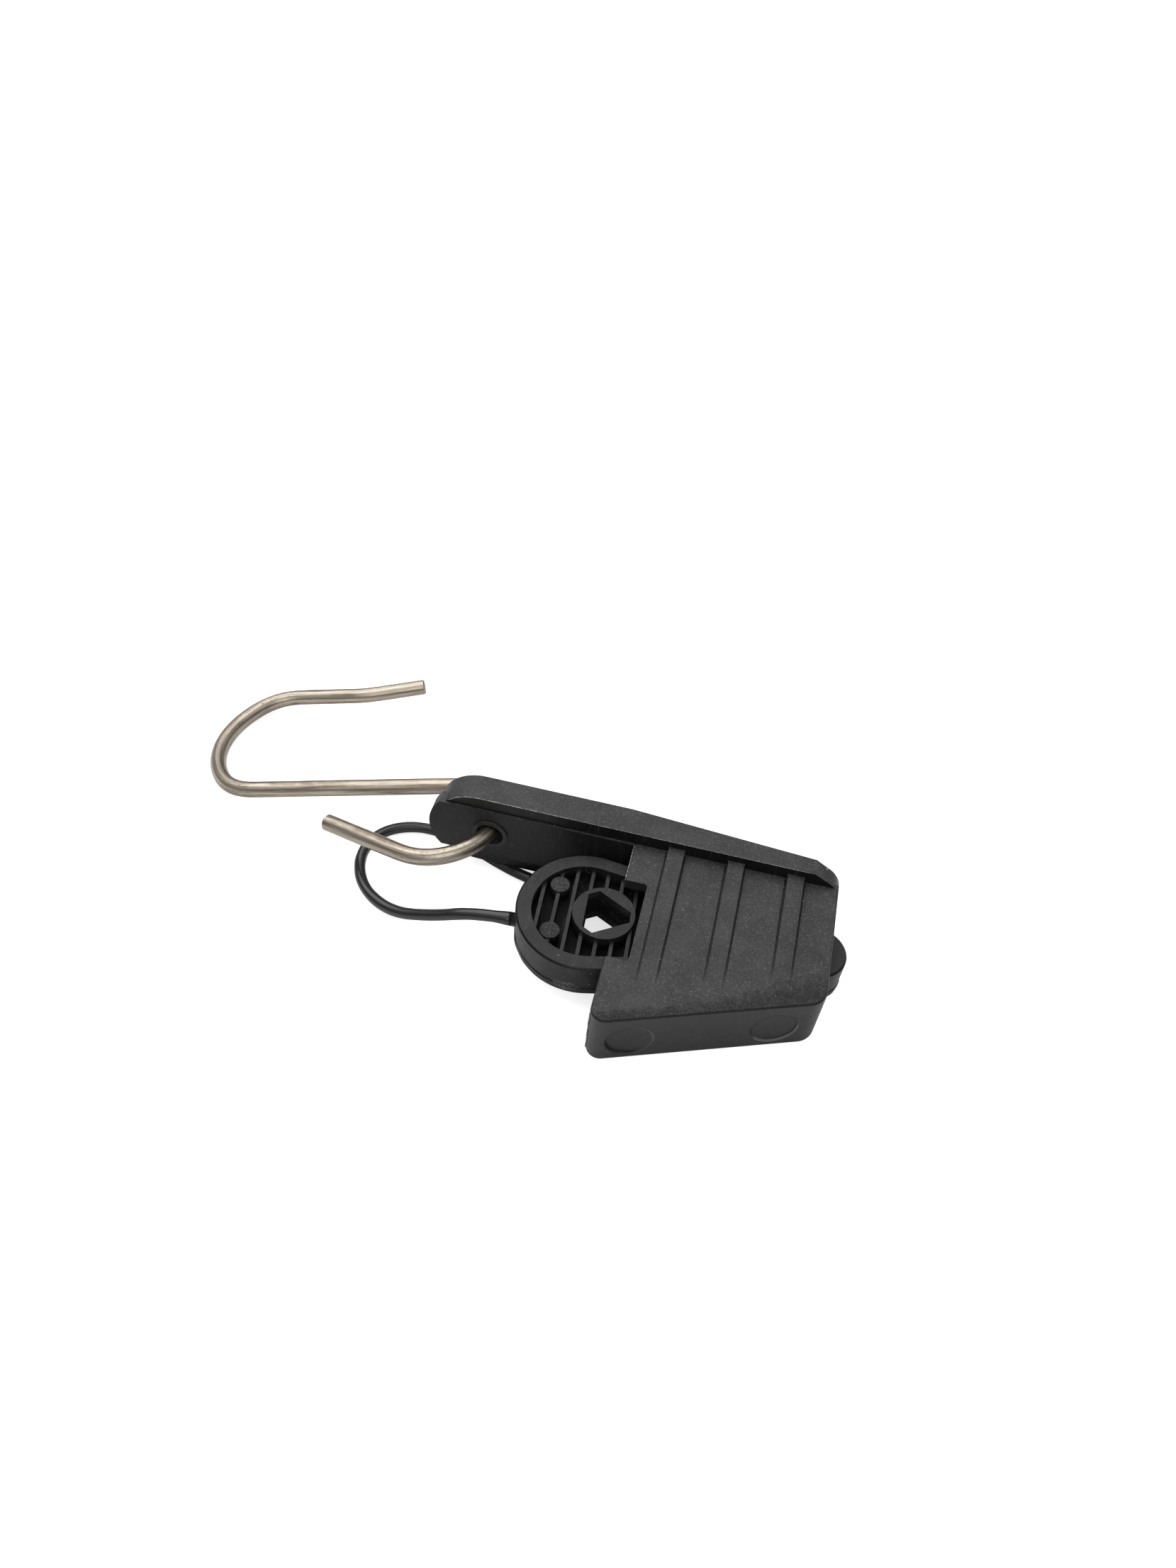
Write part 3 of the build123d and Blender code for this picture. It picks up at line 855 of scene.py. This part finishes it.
def makeWire(look):
    material, tree, shader = newMaterial("drawnWire")
    spot = put(tree, "Attribute", attribute_name="wireSpace").outputs["Vector"]
    bend = put(tree, "Attribute", attribute_name="bend").outputs["Fac"]
    streak = noise(tree, scaled(tree, spot, (3.2, 3.2, 0.07)), 1.0, 5.0, 0.62)
    broad = noise(tree, scaled(tree, spot, (0.8, 0.8, 0.05)), 1.0, 3.0)
    patch = noise(tree, scaled(tree, spot, (0.5, 0.5, 0.22)), 1.0, 4.0, 0.6)
    pits = noise(tree, scaled(tree, spot, (3.0, 3.0, 1.6)), 1.0, 4.0, 0.7)
    color = mixColor(tree, step(tree, streak, 0.32, 0.66), look["deep"], look["pale"])
    brown = times(tree, step(tree, broad, 0.48, 0.66), step(tree, patch, 0.35, 0.6), 0.6)
    color = mixColor(tree, brown, color, look["scale"])
    scuff = times(tree, step(tree, pits, 0.56, 0.66), step(tree, bend, 0.2, 0.9, 0.12, 0.6))
    color = mixColor(tree, scuff, color, look["scale"])
    tree.links.new(color, shader["Base Color"])
    shader["Metallic"].default_value = 1.0
    matt = plus(tree, look["satin"], times(tree, streak, 0.2))
    matt = plus(tree, matt, times(tree, scuff, 0.2), clamp=True)
    tree.links.new(matt, shader["Roughness"])
    emboss(tree, shader, minus(tree, streak, times(tree, scuff, 0.8)), look["grainDepth"], 0.8)
    return material


# Tether plastic: shiny black, a little paler on the seam
tetherFinish = {
    "body": (0.010, 0.010, 0.0105, 1),
    "seam": (0.030, 0.030, 0.030, 1),
    "gloss": 0.15,
    "grainDepth": 0.03,
}


def makeTetherPlastic(look):
    material, tree, shader = newMaterial("tetherPlastic")
    spot = put(tree, "Attribute", attribute_name="cordSpace").outputs["Vector"]
    seam = put(tree, "Attribute", attribute_name="seam").outputs["Fac"]
    slow = noise(tree, scaled(tree, spot, (0.8, 0.8, 0.3)), 1.0, 3.0)
    fine = noise(tree, scaled(tree, spot, (2.5, 2.5, 0.5)), 1.0, 3.0)
    color = mixColor(tree, times(tree, seam, slow), look["body"], look["seam"])
    tree.links.new(color, shader["Base Color"])
    matt = plus(tree, look["gloss"], times(tree, slow, 0.16))
    tree.links.new(plus(tree, matt, times(tree, seam, 0.15)), shader["Roughness"])
    emboss(tree, shader, plus(tree, slow, times(tree, fine, 0.3)), look["grainDepth"], 0.6)
    return material


# Flash plastic: thin and scuffed, so paler than the faces beside it
flashFinish = {
    "dark": (0.05, 0.05, 0.05, 1),
    "pale": (0.30, 0.297, 0.288, 1),
    "grainSize": 0.15,
    "grainDepth": 0.02,
}


def makeFlashPlastic(look):
    material, tree, shader = newMaterial("flashPlastic")
    space = useGroup(tree, clampSpace)
    chips = step(tree, noise(tree, space["Point"], 1.3, 4.0, 0.7), 0.36, 0.6)
    tree.links.new(mixColor(tree, chips, look["dark"], look["pale"]), shader["Base Color"])
    tree.links.new(step(tree, chips, 0.0, 1.0, 0.34, 0.6), shader["Roughness"])
    grain = useGroup(tree, mouldGrain, {"Point": space["Point"], "Size": look["grainSize"]})
    emboss(tree, shader, grain["Height"], look["grainDepth"], 0.7)
    return material


def wear(piece, material):
    piece.data.materials.clear()
    piece.data.materials.append(material)


casingPlastic = makeCasingPlastic(casingFinish)
wedgePlastic = makeWedgePlastic(wedgeFinish)
flashPlastic = makeFlashPlastic(flashFinish)
wear(nodes["casing"], casingPlastic)
for piece in (nodes["wedge"], seamPiece, hairPiece):
    wear(piece, wedgePlastic)
for piece in finPieces:
    wear(piece, flashPlastic)
wear(hookPiece, makeWire(wireFinish))
wear(tetherPiece, makeTetherPlastic(tetherFinish))
print("finishes given")

# Studio: pale floor, a large soft light above and behind, a weaker one in front and weak light all round;
# each light has its power, width and place, in metres
studio = {
    "floor": 0.80,
    "floorHalf": 3,
    "glow": 0.70,
    "zenith": 0.85,
    "horizon": 0.14,
    "skyHeights": (0.15, 0.8),
    "backdrop": 1.0,
    "lights": {
        "overheadSoftbox": (4.2, 0.8, (-0.24, 0.20, 0.64)),
        "frontSoftbox": (1.2, 0.5, (0.12, -0.62, 0.48)),
    },
    "aim": (0.02, 0, 0),
}


def hangLamp(name, energy, size, place, aim):
    light = bpy.data.lights.new(name, "AREA")
    light.energy = energy
    light.shape = "SQUARE"
    light.size = size
    lamp = bpy.data.objects.new(name, light)
    lamp.location = place
    lamp.rotation_euler = (Vector(aim) - lamp.location).to_track_quat("-Z", "Y").to_euler()
    bpy.context.scene.collection.objects.link(lamp)


def grey(tone):
    return tone, tone, tone, 1


# the floor's paper glows for the camera alone, so that the white ground doesn't light the clamp
def layFloor(room):
    half = room["floorHalf"]
    corners = [(-half, -half, 0), (half, -half, 0), (half, half, 0), (-half, half, 0)]
    mesh = bpy.data.meshes.new("floor")
    mesh.from_pydata(corners, [], [(0, 1, 2, 3)])
    floor = bpy.data.objects.new("floor", mesh)
    bpy.context.scene.collection.objects.link(floor)
    material, tree, shader = newMaterial("floorPaper")
    tone = noise(tree, put(tree, "TexCoord").outputs["Object"], 40.0, 2.0)
    color = mixColor(tree, tone, grey(room["floor"]), grey(room["floor"] + 0.02))
    tree.links.new(color, shader["Base Color"])
    shader["Roughness"].default_value = 0.9
    shader["Emission Color"].default_value = grey(1)
    seen = put(tree, "LightPath").outputs["Is Camera Ray"]
    tree.links.new(times(tree, seen, room["glow"]), shader["Emission Strength"])
    mesh.materials.append(material)


# light all round, brighter towards the zenith, behind a plain white backdrop that only the camera sees
def makeSky(room):
    world = bpy.data.worlds.new("studio")
    bpy.context.scene.world = world
    world.use_nodes = True
    tree = world.node_tree
    height = put(tree, "SeparateXYZ", {0: put(tree, "TexCoord").outputs["Generated"]}).outputs[2]
    rising = step(tree, height, *room["skyHeights"])
    sky = mixColor(tree, rising, grey(room["horizon"]), grey(room["zenith"]))
    seen = put(tree, "LightPath").outputs["Is Camera Ray"]
    color = mixColor(tree, seen, sky, grey(room["backdrop"]))
    tree.links.new(color, tree.nodes["Background"].inputs["Color"])


layFloor(studio)
makeSky(studio)
for name, (energy, size, place) in studio["lights"].items():
    hangLamp(name, energy, size, place, studio["aim"])
bpy.context.scene.view_settings.view_transform = "Standard"
print("studio lit")
